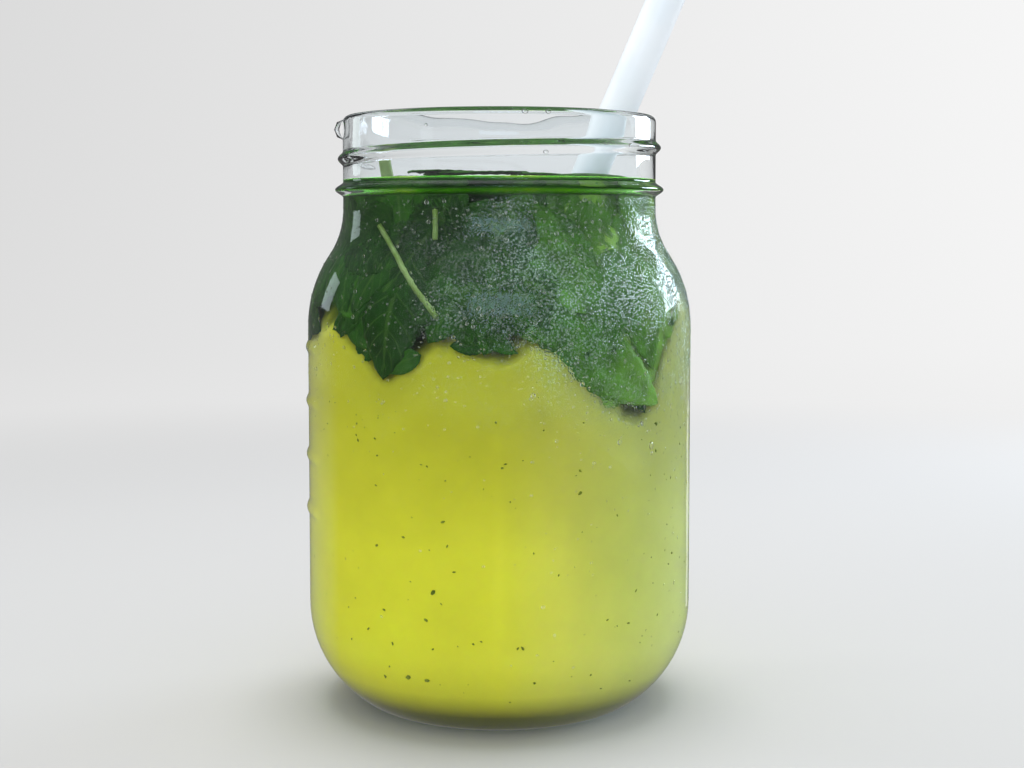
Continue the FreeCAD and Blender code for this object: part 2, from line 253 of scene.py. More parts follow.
def makeBackdrop():
    # seamless paper: a round floor that sweeps up into a wall on every side
    sweep = studio["wallRadius"] - studio["floorRadius"]
    points = chain(
        straightRun((0, 0), (studio["floorRadius"], 0), 150),
        arcRun(studio["floorRadius"], sweep, sweep, -90, 0, 12),
        straightRun((studio["wallRadius"], sweep), (studio["wallRadius"], studio["wallHeight"]), 300),
    )
    material, tree, shader = newMaterial("seamless background paper")  # matt floor; beyond it the paper glows instead of being lit, painted brighter towards +X
    place = objectPoint(tree)
    split = addNode(tree, "ShaderNodeSeparateXYZ", links={"Vector": place})
    away = addNode(tree, "ShaderNodeVectorMath", {"operation": "LENGTH"}, {"Vector": place})
    near, far = studio["mattFloor"]
    rise = addNode(tree, "ShaderNodeMapRange",
                   {"interpolation_type": "SMOOTHSTEP", "From Min": near * mm, "From Max": far * mm},
                   {"Value": away.outputs["Value"]})
    tone = ramp(tree, rise.outputs["Result"], [(0.0, studio["floorPaper"]), (1.0, "#000000")])
    tree.links.new(tone, shader.inputs["Base Color"])
    dark, bright = studio["wallGlow"]
    span = studio["glowSpan"] * mm
    across = addNode(tree, "ShaderNodeMapRange",
                     {"From Min": -span, "From Max": span, "To Min": dark, "To Max": bright},
                     {"Value": split.outputs["X"]})
    glow = addNode(tree, "ShaderNodeMath", {"operation": "MULTIPLY"},
                   {0: across.outputs["Result"], 1: rise.outputs["Result"]})
    tree.links.new(glow.outputs[0], shader.inputs["Emission Strength"])
    setInputs(shader, {"Roughness": 0.9, "Specular IOR Level": 0.0, "Emission Color": linear("#ffffff")})
    makeStage(spun(points, 96), "backdrop", material).visible_glossy = False


def standsAt(bearing, rise, distance):
    # a place round the point that the lamps look at
    angle = math.radians(rise)
    return around(distance * math.cos(angle), bearing, studio["aim"] + distance * math.sin(angle))


def onlyReflected(piece):
    for kind in ("camera", "diffuse", "transmission", "volume_scatter", "shadow"):
        setattr(piece, "visible_" + kind, False)


def makeCard(bearing, rise, distance, width, height, radiance):
    bm = bmesh.new()
    bmesh.ops.create_grid(bm, x_segments=1, y_segments=1, size=0.5)
    bmesh.ops.scale(bm, vec=(width, height, 1), verts=bm.verts)
    place = standsAt(bearing, rise, distance)
    turn = (standsAt(0, 0, 0) - place).to_track_quat("Z", "Y").to_matrix()
    bmesh.ops.rotate(bm, matrix=turn, verts=bm.verts)
    bmesh.ops.translate(bm, vec=place, verts=bm.verts)
    material, tree, shader = newMaterial("lit white card")
    setInputs(shader, {"Emission Color": linear("#ffffff"), "Emission Strength": radiance,
                       "Base Color": linear("#000000"), "Specular IOR Level": 0.0})
    onlyReflected(makeStage(bm, "card", material))


def makeTent():
    # a dim tent that only reflections see, so that the glass keeps its dark outlines
    bm = bmesh.new()
    bmesh.ops.create_uvsphere(bm, u_segments=48, v_segments=24, radius=studio["tentRadius"])
    bmesh.ops.reverse_faces(bm, faces=bm.faces)
    material, tree, shader = newMaterial("dim tent cloth")
    up = addNode(tree, "ShaderNodeSeparateXYZ", links={"Vector": objectPoint(tree)})
    top = studio["tentRadius"] * mm
    height = addNode(tree, "ShaderNodeMapRange", {"From Min": -top, "From Max": top},
                     {"Value": up.outputs["Z"]})
    glow = ramp(tree, height.outputs["Result"], studio["tentGlow"])
    light = addNode(tree, "ShaderNodeEmission", {"Strength": 1.0}, {"Color": glow})
    tree.links.new(light.outputs["Emission"], tree.nodes["Material Output"].inputs["Surface"])
    onlyReflected(makeStage(bm, "tent", material))


def makeLamp(name, bearing, rise, distance, width, height, radiance, colour):
    place = standsAt(bearing, rise, distance)
    data = bpy.data.lights.new(name, "AREA")
    data.shape = "RECTANGLE"
    data.size = width * mm
    data.size_y = height * mm
    data.energy = radiance * math.pi * data.size * data.size_y
    data.color = linear(colour)[:3]
    lamp = bpy.data.objects.new(name, data)
    lamp.location = place * mm
    lamp.rotation_euler = (standsAt(0, 0, 0) - place).to_track_quat("-Z", "Y").to_euler()
    lamp.visible_camera = False
    lamp.visible_glossy = name != "left fill"
    lamp.visible_transmission = False
    bpy.context.scene.collection.objects.link(lamp)


def makeSky():
    world = bpy.data.worlds.new("studio")
    world.use_nodes = True
    background = world.node_tree.nodes["Background"]
    background.inputs["Color"].default_value = linear(studio["skyColour"])
    background.inputs["Strength"].default_value = studio["skyStrength"]
    world.cycles.sampling_method = "NONE"
    bpy.context.scene.world = world


makeCamera()
makeBackdrop()
makeTent()
makeSky()
for lamp in studio["lamps"]:
    makeLamp(*lamp)
for card in studio["cards"]:
    makeCard(*card)
bpy.context.scene.view_settings.view_transform = "Standard"
bpy.context.scene.cycles.max_bounces = studio["bounces"]
print("studio ready")


# the jar's two outlines, outside and inside, from which the drink and the leaves take their room

jar = dict(
    height=jarHigh.z / mm,
    bodyRadius=jarHigh.y / mm,
    neckRadius=33.4,
    neckDrop=19.6,
    shoulderRound=27.0,
    neckFillet=17.5,
    heelRound=24.5,
    footRound=8.3,
    footInset=15.25,
    footWidth=1.5,
    pushUp=1.8,
    bodyWall=2.8,
    neckWall=3.2,
    floorHeight=5.5,
    floorRound=6.0,
    rimRound=1.3,
    columns=256,
    edgeTint="#a9c4bb",
    edgeDensity=12.0,
)
neckHeight = jar["height"] - jar["neckDrop"]
heelHeight = jar["footRound"] + math.sqrt(
    (jar["heelRound"] - jar["footRound"]) ** 2 - (jar["heelRound"] - jar["footInset"]) ** 2)


def cornerTurn(wall, heelR, floorZ, floorR):
    # where the floor's round meets the heel's arc
    rise = heelHeight - floorZ - floorR
    reach = math.sqrt((heelR - floorR) ** 2 - rise ** 2)
    return wall - heelR + reach, math.degrees(math.atan2(rise, reach))


def shoulderRun(wall, neck, upper, lower, steps):
    bend = math.degrees(math.acos(1 - (wall - neck) / (upper + lower)))
    shoulderZ = neckHeight - (upper + lower) * math.sin(math.radians(bend))
    return shoulderZ, chain(
        arcRun(wall - upper, shoulderZ, upper, 0, bend, steps),
        arcRun(neck + lower, neckHeight, lower, 180 + bend, 180, steps),
    )


def outsideRun():
    body, neck, rim = jar["bodyRadius"], jar["neckRadius"], jar["rimRound"]
    footX, turn = cornerTurn(body, jar["heelRound"], 0, jar["footRound"])
    ringX = footX - jar["footWidth"]
    dome = (ringX ** 2 + jar["pushUp"] ** 2) / (2 * jar["pushUp"])
    edge = math.degrees(math.asin(ringX / dome))
    shoulderZ, shoulder = shoulderRun(body, neck, jar["shoulderRound"], jar["neckFillet"], 16)
    return chain(
        arcRun(0, jar["pushUp"] - dome, dome, 90, 90 - edge, 8),
        straightRun((ringX, 0), (footX, 0), 0.8),
        arcRun(footX, jar["footRound"], jar["footRound"], -90, -turn, 7),
        arcRun(body - jar["heelRound"], heelHeight, jar["heelRound"], -turn, 0, 12),
        straightRun((body, heelHeight), (body, shoulderZ), 0.5),
        shoulder,
        straightRun((neck, neckHeight), (neck, jar["height"] - rim), 0.25),
        arcRun(neck - rim, jar["height"] - rim, rim, 0, 90, 5),
    )


def insideRun(gap, top, step=3.0, steps=10):
    # the inside from the middle of the floor up the wall, kept off the glass by gap
    wall = jar["bodyRadius"] - jar["bodyWall"] - gap
    neck = jar["neckRadius"] - jar["neckWall"] - gap
    heelR = jar["heelRound"] - jar["bodyWall"] - gap
    floorR = jar["floorRound"] - gap
    floorZ = jar["floorHeight"] + gap
    floorX, turn = cornerTurn(wall, heelR, floorZ, floorR)
    upper = jar["shoulderRound"] - jar["bodyWall"] - gap
    lower = jar["neckFillet"] + jar["neckWall"] + gap
    shoulderZ, shoulder = shoulderRun(wall, neck, upper, lower, steps)
    return chain(
        straightRun((0, floorZ), (floorX, floorZ), 5.0),
        arcRun(floorX, floorZ + floorR, floorR, -90, -turn, 5),
        arcRun(wall - heelR, heelHeight, heelR, -turn, 0, steps),
        straightRun((wall, heelHeight), (wall, shoulderZ), step),
        shoulder,
        straightRun((neck, neckHeight), (neck, top), step),
    )


innerWall = [point for point in insideRun(0, jar["height"], 1.0, 16) if point[0] > 20][1:]


def wallRadius(z):
    # radius of the glass's inner face at a height
    for (x1, z1), (x2, z2) in zip(innerWall, innerWall[1:]):
        if z1 <= z <= z2 and z2 > z1:
            return x1 + (x2 - x1) * (z - z1) / (z2 - z1)
    return innerWall[-1][0] if z > innerWall[-1][1] else innerWall[0][0]


outerWall = [point for point in outsideRun() if point[1] > 1]


def outerRadius(z):
    for (x1, z1), (x2, z2) in zip(outerWall, outerWall[1:]):
        if z1 <= z <= z2 and z2 > z1:
            return x1 + (x2 - x1) * (z - z1) / (z2 - z1)
    return jar["bodyRadius"]


# what stands out of the glass: a screw thread, a bead under it and level marks at the side

relief = dict(
    threadDrop=9.6,
    threadPitch=5.08,
    threadFrom=-210,
    threadTo=139,
    threadFade=14,
    threadHalf=1.5,
    threadProud=1.1,
    beadDrop=15.6,
    beadHalf=1.55,
    beadProud=1.7,
    markDrop=48.8,
    markSpacing=11.4,
    markCount=4,
    markHalf=1.5,
    markProud=0.5,
    markReach=26,
)


def reliefAt(bearing, z):
    # how far the pressed thread, bead and level marks stand out of the wall
    proud = relief["beadProud"] * hump(z - jar["height"] + relief["beadDrop"], relief["beadHalf"])
    for turn in (bearing, bearing - 360):
        if relief["threadFrom"] <= turn <= relief["threadTo"]:
            along = (turn - relief["threadFrom"]) / 360
            middle = jar["height"] - relief["threadDrop"] + relief["threadPitch"] * along
            ends = min(turn - relief["threadFrom"], relief["threadTo"] - turn) / relief["threadFade"]
            proud += relief["threadProud"] * smoothStep(0, 1, ends) * hump(z - middle, relief["threadHalf"])
    aside = abs(bearing - 180)
    if aside < relief["markReach"]:
        ends = smoothStep(0, 4, relief["markReach"] - aside)
        for i in range(relief["markCount"]):
            middle = jar["height"] - relief["markDrop"] - relief["markSpacing"] * i
            proud += relief["markProud"] * ends * hump(z - middle, relief["markHalf"])
    return proud


mist = dict(
    heights=(60, 84),  # it thickens over these heights
    top=(109, 106),  # and ends over these
    sides=(-22, 22),  # it is thicker towards +X
    leastAside=0.02,
    patchSize=13.333,
    patchEdge=(0.42, 0.62),
    leastPatch=0.15,
    beadSize=0.5,
    beadEdge=(0.62, 0.12),
    beadHeight=0.22,
    betweenBeads=0.1,
    roughness=(0.012, 0.12),
    clearness=(1.0, 0.5),
    veil=[(0.0, "#fafdff"), (0.6, "#d4f1e6")],  # clear glass, and glass behind mist
    waveSize=16.667,
    waveHeight=1.2,
    waveStrength=0.25,
)


def mistMask(tree, place):
    # condensation on the shoulder and the upper body, patchy
    split = addNode(tree, "ShaderNodeSeparateXYZ", links={"Vector": place})
    low = addNode(tree, "ShaderNodeMapRange",
                  {"From Min": mist["heights"][0] * mm, "From Max": mist["heights"][1] * mm},
                  {"Value": split.outputs["Z"]})
    high = addNode(tree, "ShaderNodeMapRange",
                   {"From Min": mist["top"][0] * mm, "From Max": mist["top"][1] * mm},
                   {"Value": split.outputs["Z"]})
    side = addNode(tree, "ShaderNodeMapRange",
                   {"From Min": mist["sides"][0] * mm, "From Max": mist["sides"][1] * mm,
                    "To Min": mist["leastAside"]},
                   {"Value": split.outputs["X"]})
    patches = addNode(tree, "ShaderNodeTexNoise",
                      {"Scale": perMetre(mist["patchSize"]), "Detail": 4.0, "Roughness": 0.6},
                      {"Vector": place})
    cloudy = addNode(tree, "ShaderNodeMapRange",
                     {"From Min": mist["patchEdge"][0], "From Max": mist["patchEdge"][1],
                      "To Min": mist["leastPatch"]},
                     {"Value": patches.outputs["Fac"]})
    result = low.outputs["Result"]
    for factor in (high, side, cloudy):
        product = addNode(tree, "ShaderNodeMath", {"operation": "MULTIPLY"},
                          {0: result, 1: factor.outputs["Result"]})
        result = product.outputs[0]
    return result


def moulded(tree, shader):
    # long soft waves from the mould, and misted beads of water
    place = objectPoint(tree)
    waves = addNode(tree, "ShaderNodeTexNoise", {"Scale": perMetre(mist["waveSize"]), "Detail": 1.0},
                    {"Vector": place})
    soft = addNode(tree, "ShaderNodeBump",
                   {"Strength": mist["waveStrength"], "Distance": mist["waveHeight"] * mm},
                   {"Height": waves.outputs["Fac"]})
    beads = addNode(tree, "ShaderNodeTexVoronoi", {"Scale": perMetre(mist["beadSize"]), "Randomness": 1.0},
                    {"Vector": place})
    cap = addNode(tree, "ShaderNodeMapRange",
                  {"interpolation_type": "SMOOTHSTEP", "From Min": mist["beadEdge"][0],
                   "From Max": mist["beadEdge"][1]},
                  {"Value": beads.outputs["Distance"]})
    mask = mistMask(tree, place)
    lift = addNode(tree, "ShaderNodeMath", {"operation": "MULTIPLY"}, {0: cap.outputs["Result"], 1: mask})
    fine = addNode(tree, "ShaderNodeBump", {"Strength": 1.0, "Distance": mist["beadHeight"] * mm},
                   {"Height": lift.outputs[0], "Normal": soft.outputs["Normal"]})
    tree.links.new(fine.outputs["Normal"], shader.inputs["Normal"])
    rough = addNode(tree, "ShaderNodeMapRange",
                    {"To Min": mist["roughness"][0], "To Max": mist["roughness"][1]}, {"Value": mask})
    tree.links.new(rough.outputs["Result"], shader.inputs["Roughness"])
    grain = addNode(tree, "ShaderNodeMapRange", {"To Min": mist["betweenBeads"], "To Max": 1.0},
                    {"Value": cap.outputs["Result"]})
    milk = addNode(tree, "ShaderNodeMath", {"operation": "MULTIPLY"}, {0: grain.outputs["Result"], 1: mask})
    clear = addNode(tree, "ShaderNodeMapRange",
                    {"To Min": mist["clearness"][0], "To Max": mist["clearness"][1]},
                    {"Value": milk.outputs[0]})
    tree.links.new(clear.outputs["Result"], shader.inputs["Transmission Weight"])
    tree.links.new(ramp(tree, mask, mist["veil"]), shader.inputs["Base Color"])


def makeGlassMaterial():
    # pressed soda-lime glass: clear, slightly green where it is looked through edge on
    material, tree, shader = newMaterial("pressed soda-lime glass")
    setInputs(shader, {"IOR": 1.5})
    moulded(tree, shader)
    letLampsThrough(tree, shader, "#fafcfb")
    tint = addNode(tree, "ShaderNodeVolumeAbsorption",
                   {"Color": linear(jar["edgeTint"]), "Density": jar["edgeDensity"]})
    tree.links.new(tint.outputs["Volume"], tree.nodes["Material Output"].inputs["Volume"])
    return material


def makeWettedGlassMaterial():
    # the inner face where drink wets it: glass on one side and water on the other, 1.5 / 1.333
    material, tree, shader = newMaterial("soda-lime glass wetted by the drink")
    setInputs(shader, {"Base Color": linear("#ffffff"), "Transmission Weight": 1.0, "IOR": 1.125,
                       "Roughness": 0.0})
    letLampsThrough(tree, shader, "#fdfefd")
    return material


def makeJar():
    inside = insideRun(0, jar["height"] - jar["rimRound"])
    mouth = jar["neckRadius"] - jar["neckWall"]
    lip = arcRun(mouth + jar["rimRound"], jar["height"] - jar["rimRound"], jar["rimRound"], 90, 180, 5)
    top = straightRun((jar["neckRadius"] - jar["rimRound"], jar["height"]), lip[0], 0.5)
    bm = spun(chain(outsideRun(), top, lip, inside[::-1]), jar["columns"])
    for vert in bm.verts:
        flat = Vector((vert.co.x, vert.co.y, 0))
        if vert.co.z > heelHeight and flat.length > wallRadius(vert.co.z) + 1.2:
            vert.co += flat.normalized() * reliefAt(bearingOf(vert.co), vert.co.z)
    for face in bm.faces:
        middle = face.calc_center_median()
        inner = math.hypot(middle.x, middle.y) < wallRadius(middle.z) + 0.3
        if jar["floorHeight"] - 0.3 < middle.z < drinkHigh.z / mm and inner:
            face.material_index = 1
    piece = finished(bm, "glass_jar", makeGlassMaterial(), "glass", "jar")
    piece.data.materials.append(makeWettedGlassMaterial())
    return piece


makeJar()
print("jar made")


# where the bundle of mint hangs

bundle = dict(
    level=drinkHigh.z / mm,
    depth=29.0,
    hanging=[  # leaves that hang out of it: bearing, distance from the axis, drop, spread
        (234, 36, 10.0, 5.0), (258, 36, 3.0, 5.0), (272, 36, 4.5, 3.5), (297, 36, 6.0, 5.0),
        (309, 36, 8.0, 5.0), (321, 36, 14.0, 5.5), (346, 36, -5.0, 7.0), (20, 34, 6.0, 8.0),
        (58, 33, 11.0, 8.0), (96, 34, 5.0, 8.0), (130, 33, 12.0, 9.0), (172, 35, 5.0, 8.0),
    ],
)


sideReach = 36  # the distance from the axis at which places along the wall are compared


def bundleFloor(bearing):
    # height of the bundle's lower edge against the glass
    place = around(sideReach, bearing, 0)
    z = bundle["level"] - bundle["depth"]
    for side, distance, drop, spread in bundle["hanging"]:
        off = (place - around(distance, side, 0)).length_squared
        z -= drop * math.exp(-off / (2 * spread ** 2))
    return z


# the drink: how far it reaches into the glass and draws back under the mint

drink = dict(
    intoGlass=0.15,
    belowBundle=0.3,
    meniscusRise=0.9,
    meniscusReach=2.6,
    rimDepth=1.6,
    underMint=3.8,
    underTips=1.5,
    tipsFrom=-16,  # millimetres above the mint's lower edge, where the drink starts to draw back
    tipsTo=-3,
    murkFrom=-4.2,  # and where it starts to look like mint
    murkTo=2.4,
    wisps=[(2.2, 0.16), (1.2, 0.45)],  # how far the edge wanders, and how often in a millimetre
    columns=200,
    acrossSpan=41,
    across=[  # from -X to +X: partly the juice's own tone, partly painted haze and light that make it paler towards +X
        (0.0, "#f9f8aa"), (0.12, "#f7f344"), (0.5, "#f6f24e"), (0.65, "#f4f170"), (0.8, "#e8ec82"),
        (1.0, "#dce5a0"),
    ],
    heights=(5, 85),
    # painted shade: the juice darker towards the bottom and under the mint
    paintedShade=[(0.0, 0.5), (0.06, 0.94), (0.14, 1.0), (0.42, 0.95), (0.62, 0.80), (0.78, 0.69), (1.0, 0.63)],
    cloudSize=22.222,
    cloudShade=(0.94, 1.05),
    murk=[(0.35, "#0d2c06"), (0.5, "#1c480e"), (0.66, "#386420")],
    softness=10,  # how far light wanders in it, in millimetres
)


def makeDrinkMaterial(name, roughness, gleam):
    # lime juice, sugar and crushed pulp in suspension: soft, glowing, nearly opaque; its colour holds painted
    # shade, darker low down and under the mint, and painted haze, paler towards +X
    material, tree, shader = newMaterial(name)
    place = objectPoint(tree)
    split = addNode(tree, "ShaderNodeSeparateXYZ", links={"Vector": place})
    span = drink["acrossSpan"] * mm
    across = addNode(tree, "ShaderNodeMapRange", {"From Min": -span, "From Max": span},
                     {"Value": split.outputs["X"]})
    # the juice's colour with painted haze and light, paler towards +X
    colour = ramp(tree, across.outputs["Result"], drink["across"])
    low, high = drink["heights"]
    height = addNode(tree, "ShaderNodeMapRange", {"From Min": low * mm, "From Max": high * mm},
                     {"Value": split.outputs["Z"]})
    # painted shade by height, multiplied into the juice's colour
    shade = ramp(tree, height.outputs["Result"], [(at, grey(value)) for at, value in drink["paintedShade"]])
    shadedJuice = addNode(tree, "ShaderNodeMix", {"data_type": "RGBA", "blend_type": "MULTIPLY", 0: 1.0})
    tree.links.new(colour, shadedJuice.inputs[6])
    tree.links.new(shade, shadedJuice.inputs[7])
    clouds = addNode(tree, "ShaderNodeTexNoise",
                     {"Scale": perMetre(drink["cloudSize"]), "Detail": 4.0, "Roughness": 0.55},
                     {"Vector": place})
    dim, bright = drink["cloudShade"]
    drift = addNode(tree, "ShaderNodeMapRange",
                    {"From Min": 0.35, "From Max": 0.65, "To Min": dim, "To Max": bright},
                    {"Value": clouds.outputs["Fac"]})
    mottled = addNode(tree, "ShaderNodeVectorMath", {"operation": "SCALE"},
                      {"Scale": drift.outputs["Result"]})
    tree.links.new(shadedJuice.outputs[2], mottled.inputs[0])
    amount = addNode(tree, "ShaderNodeAttribute", {"attribute_name": "mint"})
    final = addNode(tree, "ShaderNodeMix", {"data_type": "RGBA"})
    tree.links.new(amount.outputs["Fac"], final.inputs[0])
    tree.links.new(mottled.outputs[0], final.inputs[6])
    tree.links.new(ramp(tree, clouds.outputs["Fac"], drink["murk"]), final.inputs[7])
    tree.links.new(final.outputs[2], shader.inputs["Base Color"])
    setInputs(shader, {"Roughness": roughness, "Specular IOR Level": gleam, "Subsurface Weight": 1.0,
                       "Subsurface Radius": (1.0, 0.9, 0.25), "Subsurface Scale": drink["softness"] * mm})
    return material


def makeDrink():
    # just into the glass, with a meniscus; it draws back where the leaves hang
    level = bundle["level"] - drink["belowBundle"]
    side = insideRun(-drink["intoGlass"], level, 1.0, 18)
    edge = side[-1][0]
    meniscus = [
        (edge - drink["meniscusReach"] * i / 5, level + drink["meniscusRise"] * (1 - i / 5) ** 2)
        for i in range(6)
    ]
    rim = straightRun(side[-1], meniscus[0], 0.9)
    bm = spun(chain(side, rim, meniscus, straightRun(meniscus[-1], (0, level), 2.0)), drink["columns"])
    mint = bm.verts.layers.float.new("mint")
    for vert in bm.verts:
        flat = Vector((vert.co.x, vert.co.y, 0))
        wisp = sum(size * noise.noise(vert.co * often) for size, often in drink["wisps"])
        above = vert.co.z - bundleFloor(bearingOf(vert.co)) - 1.2
        amount = smoothStep(drink["murkFrom"], drink["murkTo"], above + wisp)
        vert[mint] = amount
        if flat.length > 1 and vert.co.z < level - drink["rimDepth"]:
            tips = drink["underTips"] * smoothStep(drink["tipsFrom"], drink["tipsTo"], above)
            inward = drink["underMint"] * amount + tips
            vert.co -= flat.normalized() * inward * smoothStep(0, 12, flat.length)
    for face in bm.faces:
        if face.calc_center_median().z > level - 0.2:
            face.material_index = 1
    piece = finished(bm, "lime_drink", makeDrinkMaterial("cloudy lime juice", 0.7, 0.0), "drink", "drink")
    piece.data.materials.append(makeDrinkMaterial("lime juice at its wet surface", 0.06, 0.5))
    return piece


makeDrink()
print("drink made")


# mint leaves

leaf = dict(
    cells=(25, 8),
    smallCells=(10, 6),
    teeth=9,
    toothDepth=0.13,
    veins=8,
    veinSweep=1.7,
    veinDepth=0.35,
    quilt=0.45,
    thickness=0.22,
    spiral=137.5,  # degrees from one leaf to the next, so that no rows show
    lining=dict(count=90, rowGap=9, above=(-1, 5), length=(22, 33), heading=55, depth=(0.9, 3.4),
                shade=(0.3, 1.5)),
    filler=dict(count=60, above=8, below=12, length=(16, 26), heading=110, depth=(0.6, 4.2),
                shade=(0.05, 0.5)),
    bits=dict(count=80, above=(-1.5, 5), length=(6, 12), heading=90, depth=(1.2, 2.2), shade=(0.05, 0.5)),
    floating=dict(count=16, lift=(-0.4, 1.2), cup=(-0.6, 1.0), bend=(-0.4, 0.9), length=(17, 25),
                  shade=(0.05, 0.4)),
    paler=(-14, 24),  # leaves are painted paler over this way to +X: painted haze and light
    least=1.3,  # the nearest that a leaf's middle comes to the glass
    murkDepth=6,  # from here in, the drink hides a leaf
    blade=[(0.0, "#0d2e04"), (0.3, "#24520c"), (0.65, "#48791e"), (1.0, "#86b544")],
    blotchSize=3.846,
    veinWidth=0.09,
    veinPaleness=0.16,
    veinColour="#76a048",
    deepColour="#19420c",
    fog=0.75,
    softness=0.8,
    placed=[  # bearing, height, heading, depth, tilt, length, width, shade: the ones that hang out
        (304, 74.5, 58, 1.2, -0.06, 32, 14.5, 0.85), (293, 86.0, 66, 2.2, 0.0, 30, 17, 0.75),
        (236, 85.0, -6, 1.3, -0.02, 27, 17, 0.10), (222, 92.0, -20, 1.6, 0.0, 27, 16, 0.15),
        (254, 90.0, 25, 1.5, 0.0, 25, 15, 0.2), (271, 89.0, -15, 1.4, 0.0, 25, 14, 0.3),
        (330, 92.0, 20, 1.8, 0.0, 26, 16, 0.9), (286, 97.0, 40, 1.6, 0.0, 24, 14, 0.7),
    ],
    mounded=[  # bearing, distance, heading, lift, length: leaves that stand above the drink
        (243, 18, 10, 1.4, 20), (262, 20, 190, 1.2, 18), (296, 19, 40, 1.0, 14), (225, 16, 120, 1.2, 15),
    ],
)


def leafShape(along, across, length, width):
    # the flat outline: along 0 to 1 from stalk to tip, across -1 to 1; gives x, y and relief
    swell = math.sin(math.pi * min(1.0, max(0.0, along)) ** 0.72) ** 0.75 if 0 < along < 1 else 0.0
    tooth = abs((along * leaf["teeth"]) % 1.0 - 0.35)
    half = width / 2 * swell * (1 - leaf["toothDepth"] * tooth * abs(across) ** 4 * 2)
    vein = abs((along * leaf["veins"] - abs(across) * leaf["veinSweep"]) % 1.0 - 0.5) * 2
    puff = leaf["quilt"] * (1 - vein ** 3) * (1 - across ** 4)
    groove = leaf["veinDepth"] * math.exp(-(across * half / 0.7) ** 2)
    return along * length, across * half, puff - groove


def newLeaf(bm, layers, shade, length, width, place):
    # place turns the leaf's own x, y and relief into a point and a depth under the glass
    columns, rows = leaf["cells"] if length > 13 else leaf["smallCells"]
    grid = bmesh.ops.create_grid(bm, x_segments=columns, y_segments=rows, size=0.5)["verts"]
    for vert in grid:
        along, across = vert.co.x + 0.5, vert.co.y * 2
        x, y, rise = leafShape(along, across, length, width)
        point, depth = place(x - length / 2, y, rise)
        vert.co = point
        vert[layers["murk"]] = depth
        vert[layers["shade"]] = shade * (0.6 + 0.4 * along)
        vert[layers["along"]] = along
        vert[layers["across"]] = across


def againstGlass(bearing, z, heading, depth, tilt, cup, phase, least):
    # a leaf laid along the inside of the wall; heading 0 points its tip down
    turn = math.radians(heading)

    def place(x, y, rise):
        sideways = x * math.sin(turn) + y * math.cos(turn)
        height = z - x * math.cos(turn) + y * math.sin(turn)
        height = min(height, bundle["level"] + 0.6)
        wave = 0.7 * math.sin(x * 0.33 + phase) * math.cos(y * 0.45 + phase * 2)
        inset = max(least, depth + tilt * x + cup * y * y * 0.02 + wave * depth / 2.5 - rise * 0.8)
        radius = wallRadius(height) - inset
        side = bearing + math.degrees(sideways / max(radius, 20))
        return around(radius, side, height), min(1.0, inset / leaf["murkDepth"])

    return place


def onSurface(x0, y0, heading, lift, cup, bend):
    # a leaf that floats flat in the mouth
    turn = math.radians(heading)

    def place(x, y, rise):
        px = x0 + x * math.cos(turn) - y * math.sin(turn)
        py = y0 + x * math.sin(turn) + y * math.cos(turn)
        z = bundle["level"] + lift + rise * 0.7 + cup * y * y * 0.02 - bend * x * x * 0.01
        away = math.hypot(px, py)
        limit = wallRadius(min(z, jar["height"])) - 0.6
        if away > limit:
            px, py = px * limit / away, py * limit / away
        return Vector((px, py, z)), max(0.0, min(1.0, (bundle["level"] - z) / 5))

    return place


